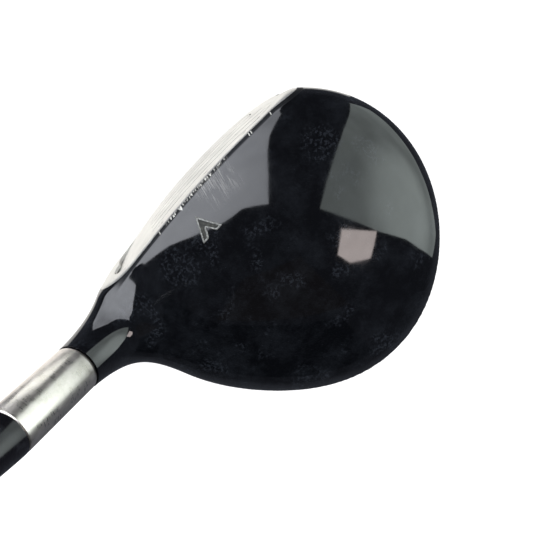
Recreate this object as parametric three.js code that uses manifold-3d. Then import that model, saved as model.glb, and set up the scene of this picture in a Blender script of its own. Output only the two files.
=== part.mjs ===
// Fairway wood for a right-handed player: a hollow steel head on a tapered graphite shaft
// with a rubber grip. Millimetres. +X runs to the heel, -Y to the target and +Z up.
// The origin is the middle of the flat pad that the sole stands on.

import * as THREE from 'three';
import { mergeVertices } from 'three/addons/utils/BufferGeometryUtils.js';
import { LoftGeometry } from 'three/addons/geometries/LoftGeometry.js';
import Module from 'manifold-3d';

const wasm = await Module();
wasm.setup();

const radians = THREE.MathUtils.degToRad;

// Club
const LIE = radians(58.5);
const LOFT = radians(15);
const CLUB_LENGTH = 1092;
const SHAFT_X = 36.72;
const SHAFT_Y = -10;

// Head: a dome over a waist outline that is part oval and part pear shaped
const WAIST = new THREE.Vector3(0.7, 7.6, 19.5);
const PLAN_RADIUS = 44.8;
const OVAL = 0.077;
const OVAL_AXIS = radians(-22);
const PEAR = 0.041;
const PEAR_AXIS = radians(-34.5);
const CROWN_HEIGHT = 37.2;
const SOLE_DIP = 0.4;
const CROWN_SHIFT = 10.1;
const CROWN_ROUNDNESS = 2.2;
const SOLE_ROUNDNESS = 3;
const SOLE_FULLNESS = 2.2;
const NECK_RADIUS = 6.5;
const NECK_FOOT = 14;
const NECK_BLEND = 17;
const SOLID_NECK_RADIUS = 15;
const SOLID_NECK_START = 27;

// The flare behind the heel end of the face, as radius and height pairs along the shaft axis
const FLARE = [[0, 8], [9, 10], [12, 22], [9.5, 33], [7, 40], [7, 48], [0, 48]];

// Face: a patch of a large sphere, so that it has bulge and roll
const FACE_RADIUS = 210;
const FACE_MIDDLE = new THREE.Vector3(-2, -25.9, 18);
const FACE_THICKNESS = 2.5;
const FACE_RIM = 3;
const FACE_HEEL_CLEARANCE = 13;
const SCORE_LINES = 7;
const SCORE_PITCH = 3.8;
const SCORE_WIDTH = 0.7;
const SCORE_DEPTH = 0.4;
const SCORE_LENGTH = 46;
const SCORE_CUT = 20;

// Walls
const GAP = 0.3;
const WALL = 0.8;
const CROWN_THICKNESS = 0.8;
const SOLE_THICKNESS = 1.4;
const LEDGE_THICKNESS = 0.8;
const LEDGE_WIDTH = 3;
const CROWN_EDGE = 5;
const CROWN_LOW = 20.5;
const SOLE_EDGE = 11;
const SOLE_HIGH = 13;
const TOPLINE_BAND = 7;
const NECK_CLEARANCE = 17;

// Sole weight, alignment mark and resin
const WEIGHT_X = 2;
const WEIGHT_Y = 30;
const WEIGHT_RADIUS = 5.5;
const WEIGHT_INSET = 2.4;
const WEIGHT_HEIGHT = 5;
const WEIGHT_EDGE = 0.5;
const WEIGHT_HOLE_TOP = 12;
const WEIGHT_KEY = 2.4;
const MARK_X = 8.6;
const MARK_Y = -15.2;
const MARK_WIDTH = 7.2;
const MARK_LENGTH = 6.6;
const MARK_STROKE = 2.1;
const MARK_GAP = 0.06;
const MARK_HEIGHT = 0.3;
const MARK_COLUMN_BOTTOM = 25;
const MARK_COLUMN_HEIGHT = 30;
const RESIN_X = -18;
const RESIN_Y = 2;
const RESIN_RADIUS = 11;
const RESIN_TOP_RADIUS = 9;
const RESIN_SIDE = 4;
const RESIN_SHOULDER = 5;
const RESIN_TOP = 5.5;
const RESIN_CLEARANCE = 1;

// Hosel, measured along the shaft axis from the ground
const PAINT_LINE = 44.6;
const HOSEL_TOP = 71.3;
const HOSEL_RADIUS = 6.75;
const BORE_RADIUS = 4.45;
const BORE_BOTTOM = 39.3;
const DRAIN_RADIUS = 2.5;
const PLUG_LENGTH = 4;

// Ferrule, shaft and grip
const FERRULE_LENGTH = 25;
const FERRULE_MIDDLE_RADIUS = 6.14;
const FERRULE_TIP_RADIUS = 4.85;
const SHAFT_TIP_RADIUS = 4.25;
const SHAFT_BUTT_RADIUS = 7.6;
const PARALLEL_TIP = 75;
const TIP_WALL = 2.3;
const BUTT_WALL = 1;
const TIP_WEIGHT_LENGTH = 18;
const GRIP_LENGTH = 267;
const GRIP_MOUTH_WALL = 1.6;
const GRIP_LIP = 0.6;
const GRIP_LIP_LENGTH = 3;
const GRIP_FLARE_LENGTH = 4;
const GRIP_TAPER = 0.85;
const GRIP_BUTT_RADIUS = 13.4;
const CAP_RADIUS = 15.2;
const CAP_THICKNESS = 3;
const CAP_EDGE = 1;
const CAP_SPIGOT = 8;
const VENT_RADIUS = 1.25;
const TAPE_THICKNESS = 0.25;
const TAPE_INSET = 4;
const SLEEVE_GAP = 0.1;
const BAND_START = 742;
const BAND_LENGTH = 60;
const BAND_THICKNESS = 0.15;

// Sections that the head is lofted through
const UPRIGHT_SECTIONS = 12;
const FIRST_SWING = radians(5);
const LAST_SWING = radians(142);
const PAGE_SECTIONS = 9;
const SPINE = new THREE.Vector3(38, SHAFT_Y, 50);
const PAGE_REACH = 26;
const SECTION_POINTS = 32;

// Fineness of curves, and sizes of the solids that only cut
const ROUND = 24;
const FINE_ROUND = 36;
const COARSE_ROUND = 12;
const PROFILE_STEPS = 6;
const MERGE_DISTANCE = 1e-4;
const LEAST_SLOPE = 0.012;
const NORMAL_STEP = 0.05;
const REACH_STEP = 0.5;
const REACH_HALVINGS = 24;
const OVERCUT = 1;
const CUT_BOTTOM = -5;
const CUT_TOP = 60;
const CUT_ALONG = 90;
const FACE_CUT_RADIUS = 80;
const FACE_CUT_REACH = 150;
const SPACE = 300;

const axisX = new THREE.Vector3(1, 0, 0);
const axisY = new THREE.Vector3(0, 1, 0);
const shaftFoot = new THREE.Vector3(SHAFT_X, SHAFT_Y, 0);
const shaftAxis = new THREE.Vector3(Math.cos(LIE), 0, Math.sin(LIE));
const faceNormal = new THREE.Vector3(0, -Math.cos(LOFT), Math.sin(LOFT));
const faceCentre = FACE_MIDDLE.clone().addScaledVector(faceNormal, -FACE_RADIUS);

// Solids ---------------------------------------------------------------------------------

function solidOf(geometry) {
  const bare = new THREE.BufferGeometry().copy(geometry);
  bare.deleteAttribute('normal');
  bare.deleteAttribute('uv');
  const merged = mergeVertices(bare, MERGE_DISTANCE);
  const index = merged.index.array;
  const corners = [];
  for (let i = 0; i < index.length; i += 3) {
    const [a, b, c] = index.slice(i, i + 3);
    if (a !== b && b !== c && c !== a) corners.push(a, b, c);
  }
  const vertProperties = new Float32Array(merged.attributes.position.array);
  const triVerts = new Uint32Array(corners);
  return new wasm.Manifold(new wasm.Mesh({ numProp: 3, vertProperties, triVerts }));
}

function geometryOf(solid) {
  const { vertProperties, triVerts } = solid.getMesh();
  const geometry = new THREE.BufferGeometry();
  geometry.setAttribute('position', new THREE.BufferAttribute(vertProperties, 3));
  geometry.setIndex(new THREE.BufferAttribute(triVerts, 1));
  geometry.computeVertexNormals();
  return geometry;
}

// A solid of revolution about +Z from [radius, height] pairs, listed upwards on the outside.
function turned(profile, segments = ROUND) {
  const points = profile.map(([radius, height]) => new THREE.Vector2(radius, height));
  return new THREE.LatheGeometry(points, segments).rotateX(Math.PI / 2);
}

function cylinder(radius, bottom, top, segments = ROUND) {
  return turned([[0, bottom], [radius, bottom], [radius, top], [0, top]], segments);
}

// Turns local +Z onto the shaft axis, with the local origin where that axis meets the ground.
function alongShaft(geometry) {
  return geometry.rotateY(Math.PI / 2 - LIE).translate(SHAFT_X, SHAFT_Y, 0);
}

// Head surface ---------------------------------------------------------------------------

function planRadius(angle) {
  const oval = OVAL * Math.cos(2 * (angle - OVAL_AXIS));
  const pear = PEAR * Math.cos(3 * (angle - PEAR_AXIS));
  return PLAN_RADIUS * (1 + oval + pear);
}

// Zero on the dome, negative inside it.
function domeValue(x, y, z) {
  const above = z >= WAIST.z;
  const rise = above ? CROWN_HEIGHT - WAIST.z : WAIST.z + SOLE_DIP;
  const lift = Math.abs(z - WAIST.z) / rise;
  const dx = x - (above ? WAIST.x : WAIST.x * (1 - lift));
  const dy = y - (above ? WAIST.y - CROWN_SHIFT * lift : WAIST.y * (1 - lift));
  const spread = Math.hypot(dx, dy) / planRadius(Math.atan2(dy, dx));
  if (above) return spread ** CROWN_ROUNDNESS + lift ** 2 - 1;
  return spread ** SOLE_ROUNDNESS + lift ** SOLE_FULLNESS - 1;
}

function slopeOf(level, p, step = 0.01) {
  return new THREE.Vector3(
    level(p.x + step, p.y, p.z) - level(p.x - step, p.y, p.z),
    level(p.x, p.y + step, p.z) - level(p.x, p.y - step, p.z),
    level(p.x, p.y, p.z + step) - level(p.x, p.y, p.z - step),
  ).divideScalar(2 * step);
}

// Rough distance to the dome in millimetres.
function domeDistance(p) {
  const steepness = slopeOf(domeValue, p).length();
  return domeValue(p.x, p.y, p.z) / Math.max(steepness, LEAST_SLOPE);
}

function neckDistance(p) {
  const offset = p.clone().sub(shaftFoot);
  const along = Math.max(offset.dot(shaftAxis), NECK_FOOT);
  return offset.addScaledVector(shaftAxis, -along).length() - NECK_RADIUS;
}

// Distance to dome and neck together, with a soft fillet where they meet.
function headDistance(p) {
  const dome = domeDistance(p);
  const neck = neckDistance(p);
  const near = Math.max(NECK_BLEND - Math.abs(dome - neck), 0) / NECK_BLEND;
  return Math.min(dome, neck) - near * near * NECK_BLEND / 4;
}

function headNormal(p) {
  const level = (x, y, z) => headDistance(new THREE.Vector3(x, y, z));
  return slopeOf(level, p, NORMAL_STEP).normalize();
}

// Walks from a point inside the head to its surface.
function reach(from, direction) {
  const at = (distance) => from.clone().addScaledVector(direction, distance);
  let outside = REACH_STEP;
  while (headDistance(at(outside)) < 0) outside += REACH_STEP;
  let inside = outside - REACH_STEP;
  for (let i = 0; i < REACH_HALVINGS; i += 1) {
    const middle = (inside + outside) / 2;
    if (headDistance(at(middle)) < 0) inside = middle;
    else outside = middle;
  }
  return inside;
}

// One flat section of the head through a point inside it.
function headSection(guess, normal) {
  const up = normal.clone().cross(axisY);
  const down = up.clone().negate();
  const front = axisY.clone().negate();
  const centre = guess.clone();
  centre.addScaledVector(axisY, (reach(centre, axisY) - reach(centre, front)) / 2);
  centre.addScaledVector(up, (reach(centre, up) - reach(centre, down)) / 2);
  const halfWidth = reach(centre, axisY);
  const halfHeight = reach(centre, up);
  const points = [];
  for (let i = 0; i < SECTION_POINTS; i += 1) {
    const angle = 2 * Math.PI * i / SECTION_POINTS;
    const direction = new THREE.Vector3()
      .addScaledVector(axisY, halfWidth * Math.cos(angle))
      .addScaledVector(up, halfHeight * Math.sin(angle))
      .normalize();
    points.push(centre.clone().addScaledVector(direction, reach(centre, direction)));
  }
  return points;
}

// The outermost point of the waist outline on the toe side.
function toePoint() {
  let toe = WAIST.clone();
  for (let degree = 90; degree < 270; degree += 1) {
    const angle = radians(degree);
    const radius = planRadius(angle);
    const x = WAIST.x + radius * Math.cos(angle);
    if (x < toe.x) toe = new THREE.Vector3(x, WAIST.y + radius * Math.sin(angle), WAIST.z);
  }
  return toe;
}

// Upright sections run from the toe towards the heel. They then turn like the pages of a book
// about a spine above the heel, until they stand square to the shaft axis.
function headSections() {
  const sections = [];
  const toe = toePoint();
  for (let i = 0; i < UPRIGHT_SECTIONS; i += 1) {
    const swing = THREE.MathUtils.lerp(FIRST_SWING, LAST_SWING, i / (UPRIGHT_SECTIONS - 1));
    const x = WAIST.x - (WAIST.x - toe.x) * Math.cos(swing);
    const share = (x - toe.x) / (SPINE.x - toe.x);
    const y = THREE.MathUtils.lerp(toe.y, SHAFT_Y, share);
    sections.push(headSection(new THREE.Vector3(x, y, WAIST.z), axisX));
  }
  for (let i = 1; i <= PAGE_SECTIONS; i += 1) {
    const angle = LIE * i / PAGE_SECTIONS;
    const normal = new THREE.Vector3(Math.cos(angle), 0, Math.sin(angle));
    const outwards = new THREE.Vector3(Math.sin(angle), 0, -Math.cos(angle));
    sections.push(headSection(SPINE.clone().addScaledVector(outwards, PAGE_REACH), normal));
  }
  const top = shaftFoot.clone().addScaledVector(shaftAxis, PAINT_LINE + OVERCUT);
  sections.push(headSection(top, shaftAxis));
  return sections;
}

const outerSections = headSections();
const outerNormals = outerSections.map((section) => section.map(headNormal));

// The head and neck as one solid, with its skin moved inwards by a depth.
function skinSolid(depth) {
  const sections = outerSections.map((section, i) => (
    section.map((p, j) => p.clone().addScaledVector(outerNormals[i][j], -depth))
  ));
  return solidOf(new LoftGeometry(sections, { capStart: true, capEnd: true }));
}

// Everything behind the face sphere, once it is moved back by a depth.
function behindFace(depth) {
  const radius = FACE_RADIUS - depth;
  const back = radius - FACE_CUT_REACH;
  const profile = [[0, back], [FACE_CUT_RADIUS, back]];
  for (let i = PROFILE_STEPS; i >= 0; i -= 1) {
    const r = FACE_CUT_RADIUS * i / PROFILE_STEPS;
    profile.push([r, Math.sqrt(radius * radius - r * r)]);
  }
  const geometry = turned(profile, FINE_ROUND).rotateX(Math.PI / 2 - LOFT);
  return solidOf(geometry.translate(faceCentre.x, faceCentre.y, faceCentre.z));
}

// An upright prism with the waist outline drawn in by an inset.
function planPrism(inset, bottom, top) {
  const outline = [];
  for (let i = 0; i < FINE_ROUND; i += 1) {
    const angle = 2 * Math.PI * i / FINE_ROUND;
    const radius = planRadius(angle) - inset;
    outline.push(new THREE.Vector2(radius * Math.cos(angle), radius * Math.sin(angle)));
  }
  const options = { depth: top - bottom, bevelEnabled: false };
  const geometry = new THREE.ExtrudeGeometry(new THREE.Shape(outline), options);
  return solidOf(geometry.translate(WAIST.x, WAIST.y, bottom));
}

function box(width, depth, height, x, y, z) {
  return solidOf(new THREE.BoxGeometry(width, depth, height).translate(x, y, z));
}

function shaftCylinder(radius, bottom, top, segments = ROUND) {
  return solidOf(alongShaft(cylinder(radius, bottom, top, segments)));
}

const skin = skinSolid(0);
const aboveGround = box(SPACE, SPACE, SPACE, 0, 0, SPACE / 2);

// The region of the crown that its plate fills, drawn in by a margin.
function crownRegion(margin) {
  const plan = planPrism(CROWN_EDGE + margin, CROWN_LOW, CUT_TOP);
  const forward = plan.translate([0, CROWN_EDGE - CROWN_SHIFT, 0]);
  const neck = shaftCylinder(NECK_CLEARANCE + margin, 0, CUT_ALONG, FINE_ROUND);
  return forward.intersect(behindFace(TOPLINE_BAND + margin)).subtract(neck);
}

// The region of the sole that its plate fills, drawn in by a margin.
function soleRegion(margin) {
  const plan = planPrism(SOLE_EDGE + margin, CUT_BOTTOM, SOLE_HIGH);
  return plan.intersect(behindFace(SOLE_EDGE + margin));
}

// A thicker strip of wall under the edge of a plate, before the seat is cut in it.
function ledge(region, thickness) {
  const frame = region(-LEDGE_WIDTH).subtract(region(LEDGE_WIDTH));
  const underside = skinSolid(thickness + GAP + LEDGE_THICKNESS);
  return skinSolid(WALL / 2).subtract(underside).intersect(frame);
}

function seat(region, thickness) {
  return region.subtract(skinSolid(thickness + GAP));
}

// The region that the face plate fills, drawn in by a margin.
function faceRegion(margin) {
  const heel = shaftCylinder(FACE_HEEL_CLEARANCE + margin, 0, CUT_ALONG);
  return skinSolid(FACE_RIM + margin).subtract(heel);
}

// Head pieces ----------------------------------------------------------------------------

// The flare that carries the neck past the heel end of the face.
function neckFlare() {
  return solidOf(alongShaft(turned(FLARE))).intersect(skin);
}

function headBody() {
  const outside = skin.intersect(behindFace(0)).add(neckFlare()).intersect(aboveGround);
  const solidNeck = shaftCylinder(SOLID_NECK_RADIUS, SOLID_NECK_START, CUT_ALONG);
  const faceDepth = FACE_THICKNESS + GAP;
  const rim = faceDepth + LEDGE_THICKNESS;
  const hollow = skinSolid(WALL).intersect(behindFace(rim)).subtract(solidNeck);
  const hosel = shaftCylinder(HOSEL_RADIUS, PAINT_LINE, HOSEL_TOP);
  const bore = shaftCylinder(BORE_RADIUS, BORE_BOTTOM, HOSEL_TOP + OVERCUT);
  const drain = shaftCylinder(DRAIN_RADIUS, NECK_FOOT, BORE_BOTTOM + OVERCUT);
  return outside
    .subtract(hollow)
    .add(ledge(crownRegion, CROWN_THICKNESS))
    .add(ledge(soleRegion, SOLE_THICKNESS))
    .subtract(crownRegion(LEDGE_WIDTH))
    .subtract(soleRegion(LEDGE_WIDTH))
    .subtract(seat(crownRegion(-GAP), CROWN_THICKNESS))
    .subtract(seat(soleRegion(-GAP), SOLE_THICKNESS))
    .subtract(faceRegion(LEDGE_WIDTH).subtract(behindFace(rim + OVERCUT)))
    .subtract(faceRegion(-GAP).subtract(behindFace(faceDepth)))
    .add(hosel)
    .subtract(bore)
    .subtract(drain);
}

function crownPlate() {
  return crownRegion(0).intersect(skin).subtract(skinSolid(CROWN_THICKNESS));
}

function solePlate() {
  const plate = soleRegion(0).intersect(skin).intersect(aboveGround);
  return plate.subtract(skinSolid(SOLE_THICKNESS)).subtract(weightHole(GAP));
}

function facePlate() {
  let plate = faceRegion(0).intersect(behindFace(0)).subtract(behindFace(FACE_THICKNESS));
  const grooveFloor = behindFace(SCORE_DEPTH);
  const middle = (SCORE_LINES - 1) / 2;
  for (let i = 0; i < SCORE_LINES; i += 1) {
    const z = FACE_MIDDLE.z + (i - middle) * SCORE_PITCH;
    const slot = box(SCORE_LENGTH, SCORE_CUT, SCORE_WIDTH, FACE_MIDDLE.x, FACE_MIDDLE.y, z);
    plate = plate.subtract(slot.subtract(grooveFloor));
  }
  return plate;
}

// The rear weight: a stepped plug let into the sole plate from outside.
function weightHole(margin) {
  const shape = cylinder(WEIGHT_RADIUS + margin, CUT_BOTTOM, WEIGHT_HOLE_TOP);
  return solidOf(shape.translate(WEIGHT_X, WEIGHT_Y, 0));
}

function soleWeight() {
  const bottom = WEIGHT_INSET;
  const top = bottom + WEIGHT_HEIGHT;
  const key = [];
  const sides = 6;
  for (let i = 0; i < sides; i += 1) {
    const angle = 2 * Math.PI * i / sides;
    key.push(new THREE.Vector2(WEIGHT_KEY * Math.cos(angle), WEIGHT_KEY * Math.sin(angle)));
  }
  const keyOptions = { depth: WEIGHT_KEY, bevelEnabled: false };
  const socket = new THREE.ExtrudeGeometry(new THREE.Shape(key), keyOptions);
  const plug = turned([
    [0, bottom],
    [WEIGHT_RADIUS - WEIGHT_EDGE, bottom],
    [WEIGHT_RADIUS, bottom + WEIGHT_EDGE],
    [WEIGHT_RADIUS, top],
    [0, top],
  ]);
  return solidOf(plug.translate(WEIGHT_X, WEIGHT_Y, 0))
    .subtract(solidOf(socket.translate(WEIGHT_X, WEIGHT_Y, bottom - OVERCUT)));
}

// A small open chevron printed on the crown behind the topline, pointing at the target.
function alignmentMark() {
  const half = MARK_WIDTH / 2;
  const chevron = new THREE.Shape([
    new THREE.Vector2(0, 0),
    new THREE.Vector2(half, MARK_LENGTH),
    new THREE.Vector2(half - MARK_STROKE, MARK_LENGTH),
    new THREE.Vector2(0, 2 * MARK_STROKE),
    new THREE.Vector2(MARK_STROKE - half, MARK_LENGTH),
    new THREE.Vector2(-half, MARK_LENGTH),
  ]);
  const options = { depth: MARK_COLUMN_HEIGHT, bevelEnabled: false };
  const geometry = new THREE.ExtrudeGeometry(chevron, options);
  const column = solidOf(geometry.translate(MARK_X, MARK_Y, MARK_COLUMN_BOTTOM));
  return column.intersect(skinSolid(-MARK_HEIGHT)).subtract(skinSolid(-MARK_GAP));
}

// Tacky resin poured in through the hosel and set on the floor of the head.
function resinPad() {
  const bed = turned([
    [0, 0],
    [RESIN_RADIUS, 0],
    [RESIN_RADIUS, RESIN_SIDE],
    [RESIN_TOP_RADIUS, RESIN_SHOULDER],
    [0, RESIN_TOP],
  ]);
  return solidOf(bed.translate(RESIN_X, RESIN_Y, 0))
    .intersect(skinSolid(SOLE_THICKNESS + GAP))
    .subtract(weightHole(RESIN_CLEARANCE));
}

// Shaft group, along local +Z ------------------------------------------------------------

const shaftStart = BORE_BOTTOM + PLUG_LENGTH + 2 * GAP;
const shaftEnd = CLUB_LENGTH - CAP_THICKNESS - GAP;
const taperStart = shaftStart + PARALLEL_TIP;
const gripStart = CLUB_LENGTH - CAP_THICKNESS - GRIP_LENGTH;

// Outside radius of the shaft at a distance along its axis.
function shaftRadius(along) {
  const share = THREE.MathUtils.clamp((along - taperStart) / (shaftEnd - taperStart), 0, 1);
  return THREE.MathUtils.lerp(SHAFT_TIP_RADIUS, SHAFT_BUTT_RADIUS, share);
}

function shaftTube() {
  return turned([
    [SHAFT_TIP_RADIUS - TIP_WALL, shaftStart],
    [SHAFT_TIP_RADIUS, shaftStart],
    [SHAFT_TIP_RADIUS, taperStart],
    [SHAFT_BUTT_RADIUS, shaftEnd],
    [SHAFT_BUTT_RADIUS - BUTT_WALL, shaftEnd],
    [SHAFT_TIP_RADIUS - TIP_WALL, taperStart],
    [SHAFT_TIP_RADIUS - TIP_WALL, shaftStart],
  ]);
}

// A thin cover on the shaft that follows its taper.
function shaftCover(start, length, clearance, thickness) {
  const end = start + length;
  const inner = (along) => shaftRadius(along) + clearance;
  return turned([
    [inner(start), start],
    [inner(start) + thickness, start],
    [inner(end) + thickness, end],
    [inner(end), end],
    [inner(start), start],
  ]);
}

function shaftBand() {
  return shaftCover(BAND_START, BAND_LENGTH, SLEEVE_GAP / 2, BAND_THICKNESS);
}

function gripTape() {
  const length = GRIP_LENGTH - 2 * TAPE_INSET;
  return shaftCover(gripStart + TAPE_INSET, length, SLEEVE_GAP, TAPE_THICKNESS);
}

function ferrule() {
  const bottom = HOSEL_TOP + SLEEVE_GAP;
  const top = bottom + FERRULE_LENGTH;
  const bore = SHAFT_TIP_RADIUS + SLEEVE_GAP;
  return turned([
    [bore, bottom],
    [HOSEL_RADIUS, bottom],
    [FERRULE_MIDDLE_RADIUS, (bottom + top) / 2],
    [FERRULE_TIP_RADIUS, top],
    [bore, top],
    [bore, bottom],
  ]);
}

function gripSleeve() {
  const lining = SLEEVE_GAP + TAPE_THICKNESS + SLEEVE_GAP;
  const end = CLUB_LENGTH - CAP_THICKNESS - SLEEVE_GAP;
  const inner = (along) => shaftRadius(along) + lining;
  const mouth = inner(gripStart) + GRIP_MOUTH_WALL;
  const profile = [[inner(gripStart), gripStart], [mouth - GRIP_LIP, gripStart]];
  const first = gripStart + GRIP_LIP_LENGTH;
  const last = end - GRIP_FLARE_LENGTH;
  for (let i = 0; i <= PROFILE_STEPS; i += 1) {
    const share = i / PROFILE_STEPS;
    const along = THREE.MathUtils.lerp(first, last, share);
    const radius = THREE.MathUtils.lerp(mouth, GRIP_BUTT_RADIUS, share ** GRIP_TAPER);
    profile.push([radius, along]);
  }
  profile.push([CAP_RADIUS, end], [inner(shaftEnd), end], [inner(gripStart), gripStart]);
  return turned(profile);
}

function gripCap() {
  const underside = CLUB_LENGTH - CAP_THICKNESS;
  const spigot = SHAFT_BUTT_RADIUS - BUTT_WALL - GAP;
  return turned([
    [VENT_RADIUS, underside - CAP_SPIGOT],
    [spigot, underside - CAP_SPIGOT],
    [spigot, underside],
    [CAP_RADIUS, underside],
    [CAP_RADIUS, CLUB_LENGTH - CAP_EDGE],
    [CAP_RADIUS - CAP_EDGE, CLUB_LENGTH],
    [VENT_RADIUS, CLUB_LENGTH],
    [VENT_RADIUS, underside - CAP_SPIGOT],
  ]);
}

function tipWeight() {
  const radius = SHAFT_TIP_RADIUS - TIP_WALL - GAP;
  return cylinder(radius, shaftStart + GAP, shaftStart + TIP_WEIGHT_LENGTH, COARSE_ROUND);
}

function borePlug() {
  const start = BORE_BOTTOM + GAP;
  return cylinder(BORE_RADIUS - GAP, start, start + PLUG_LENGTH);
}

// Finishes -------------------------------------------------------------------------------

function finish(color, roughness, metalness) {
  return new THREE.MeshStandardMaterial({ color, roughness, metalness });
}

const glossBlack = finish(0x0b0c0f, 0.12, 0.2);
const satinSteel = finish(0xc9c8c4, 0.35, 1);
const brushedSteel = finish(0x9c9a96, 0.4, 1);
const tungsten = finish(0x6f6f72, 0.35, 1);
const printedGrey = finish(0x8b9096, 0.4, 0.4);
const amberResin = finish(0x9a7b3c, 0.5, 0);
const corkFoam = finish(0x7d6a50, 0.9, 0);
const blackPlastic = finish(0x101114, 0.25, 0);
const graphiteBlack = finish(0x16171a, 0.2, 0.3);
const bandGrey = finish(0xb6babf, 0.35, 0.5);
const tapePaper = finish(0xd9d2bd, 0.8, 0);
const blackRubber = finish(0x1a1a1b, 0.8, 0);

function named(name, geometry, material) {
  const mesh = new THREE.Mesh(geometry, material);
  mesh.name = name;
  return mesh;
}

// Assembly -------------------------------------------------------------------------------

const head = new THREE.Group();
head.add(
  named('head_body', geometryOf(headBody()), glossBlack),
  named('crown_plate', geometryOf(crownPlate()), glossBlack),
  named('face_plate', geometryOf(facePlate()), satinSteel),
  named('sole_plate', geometryOf(solePlate()), brushedSteel),
  named('sole_weight', geometryOf(soleWeight()), tungsten),
  named('alignment_mark', geometryOf(alignmentMark()), printedGrey),
  named('resin_pad', geometryOf(resinPad()), amberResin),
);

const shaft = new THREE.Group();
shaft.position.copy(shaftFoot);
shaft.rotation.y = Math.PI / 2 - LIE;
shaft.add(
  named('bore_plug', borePlug(), corkFoam),
  named('tip_weight', tipWeight(), tungsten),
  named('shaft_tube', shaftTube(), graphiteBlack),
  named('ferrule', ferrule(), blackPlastic),
  named('shaft_band', shaftBand(), bandGrey),
  named('grip_tape', gripTape(), tapePaper),
  named('grip_sleeve', gripSleeve(), blackRubber),
  named('grip_cap', gripCap(), blackRubber),
);

const club = new THREE.Group();
club.add(head, shaft);

export default club;
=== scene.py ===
"""Looks of a right-handed fairway wood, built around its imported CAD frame.

Shapes are worked out in millimetres in the CAD frame: the origin is the middle of the sole's flat
pad, +X runs to the heel, -Y to the target and +Z up. to_object() turns them into metres.
"""
import math

import bpy
import numpy as np
from mathutils import Matrix, Vector


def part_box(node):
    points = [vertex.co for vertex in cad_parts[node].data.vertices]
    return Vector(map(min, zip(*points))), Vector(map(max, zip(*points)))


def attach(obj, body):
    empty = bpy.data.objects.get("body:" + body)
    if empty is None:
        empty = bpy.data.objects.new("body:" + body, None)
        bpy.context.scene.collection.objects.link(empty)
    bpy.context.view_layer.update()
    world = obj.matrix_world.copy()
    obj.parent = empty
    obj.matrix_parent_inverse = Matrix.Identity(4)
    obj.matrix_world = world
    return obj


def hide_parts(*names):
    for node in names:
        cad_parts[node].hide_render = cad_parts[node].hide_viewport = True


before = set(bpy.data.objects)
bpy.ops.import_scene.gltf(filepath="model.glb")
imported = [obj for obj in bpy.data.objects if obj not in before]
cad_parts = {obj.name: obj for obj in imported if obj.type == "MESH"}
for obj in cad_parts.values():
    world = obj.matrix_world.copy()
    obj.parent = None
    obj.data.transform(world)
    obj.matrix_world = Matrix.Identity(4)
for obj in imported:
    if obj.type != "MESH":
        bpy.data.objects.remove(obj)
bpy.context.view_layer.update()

MM = 0.001

# Driving dimensions, in millimetres ---------------------------------------------------------------

LIE = math.radians(58.5)
LOFT = math.radians(15)
WAIST = np.array([0.7, 7.6, 19.5])
PLAN_RADIUS = 44.8
OVAL, OVAL_AXIS = 0.077, math.radians(-22)
PEAR, PEAR_AXIS = 0.041, math.radians(-34.5)
CROWN_HEIGHT = 37.2
SOLE_DIP = 0.4
CROWN_SHIFT = 10.1
CROWN_ROUNDNESS, SOLE_ROUNDNESS = 2.2, 3.0
NECK_RADIUS, NECK_FOOT, NECK_BLEND = 6.5, 14.0, 17.0
FACE_RADIUS = 210.0
FACE_MIDDLE = np.array([-2.0, -25.9, 18.0])
FACE_RIM, FACE_HEEL_CLEARANCE, FACE_DEPTH = 3.0, 13.0, 4.0
TOE_END = (-11.0, 19.0)
SCORE_LINES, SCORE_PITCH, SCORE_LENGTH = 7, 3.8, 46.0
SCORE_DEPTH, SCORE_RUNOUT, SCORE_LIPS = 0.4, 0.4, np.array([0.10, 0.26, 0.38])
CROWN_EDGE, SOLE_EDGE, TOPLINE_BAND, NECK_CLEARANCE = 5.0, 11.0, 7.0, 17.0
SOLE_TOP = 13.0
PAINT_LINE, HOSEL_TOP, HOSEL_RADIUS, BORE_RADIUS = 44.6, 71.3, 6.75, 4.45
FERRULE_LENGTH, FERRULE_TIP_RADIUS = 25.0, 4.85
CLUB_LENGTH = 1092.0
SHAFT_START, TAPER_START, SHAFT_END = 43.9, 118.9, 1088.7
SHAFT_TIP_RADIUS, SHAFT_BUTT_RADIUS = 4.25, 7.6
TIP_BORE_RADIUS, BUTT_BORE_RADIUS = 1.95, 6.6
GRIP_START, GRIP_END = 822.0, 1088.9
GRIP_BUTT_RADIUS, CAP_RADIUS, VENT_RADIUS = 13.4, 15.2, 1.25
TAPE_ROOM, MOUTH_WALL = 0.45, 1.6
BAND_START, BAND_LENGTH, BAND_THICKNESS = 742.0, 60.0, 0.15
WEIGHT_RADIUS, WEIGHT_INSET, WEIGHT_HEIGHT, KEY_FLATS = 5.5, 2.4, 5.0, 2.1

SKIN, FACE_SKIN = 0.8, 1.6
SEAM, FACE_SEAM = 0.2, 0.05
RIM_OVERLAP, NECK_PAINT = 0.3, 6.0
HEAD_LOW, HEAD_HIGH = (-50.0, -32.0, -2.0), (70.0, 58.0, 46.0)
EDGE_ROUNDING = 1.4
PAD_ROUNDING = 1.2
CELL = 0.8
SNAP = 0.22 * CELL

shaft_foot = np.array([36.72, -10.0, 0.0])
shaft_axis = np.array([math.cos(LIE), 0.0, math.sin(LIE)])
face_normal = np.array([0.0, -math.cos(LOFT), math.sin(LOFT)])
face_up = np.array([0.0, math.sin(LOFT), math.cos(LOFT)])
face_centre = FACE_MIDDLE - FACE_RADIUS * face_normal
weight_low, weight_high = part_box("sole_weight")
weight_centre = np.array((weight_low + weight_high) / 2) / MM


# The head as a distance field -------------------------------------------------------------------

def plan_radius(angle):
    oval = OVAL * np.cos(2 * (angle - OVAL_AXIS))
    pear = PEAR * np.cos(3 * (angle - PEAR_AXIS))
    return PLAN_RADIUS * (1 + oval + pear)


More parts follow.
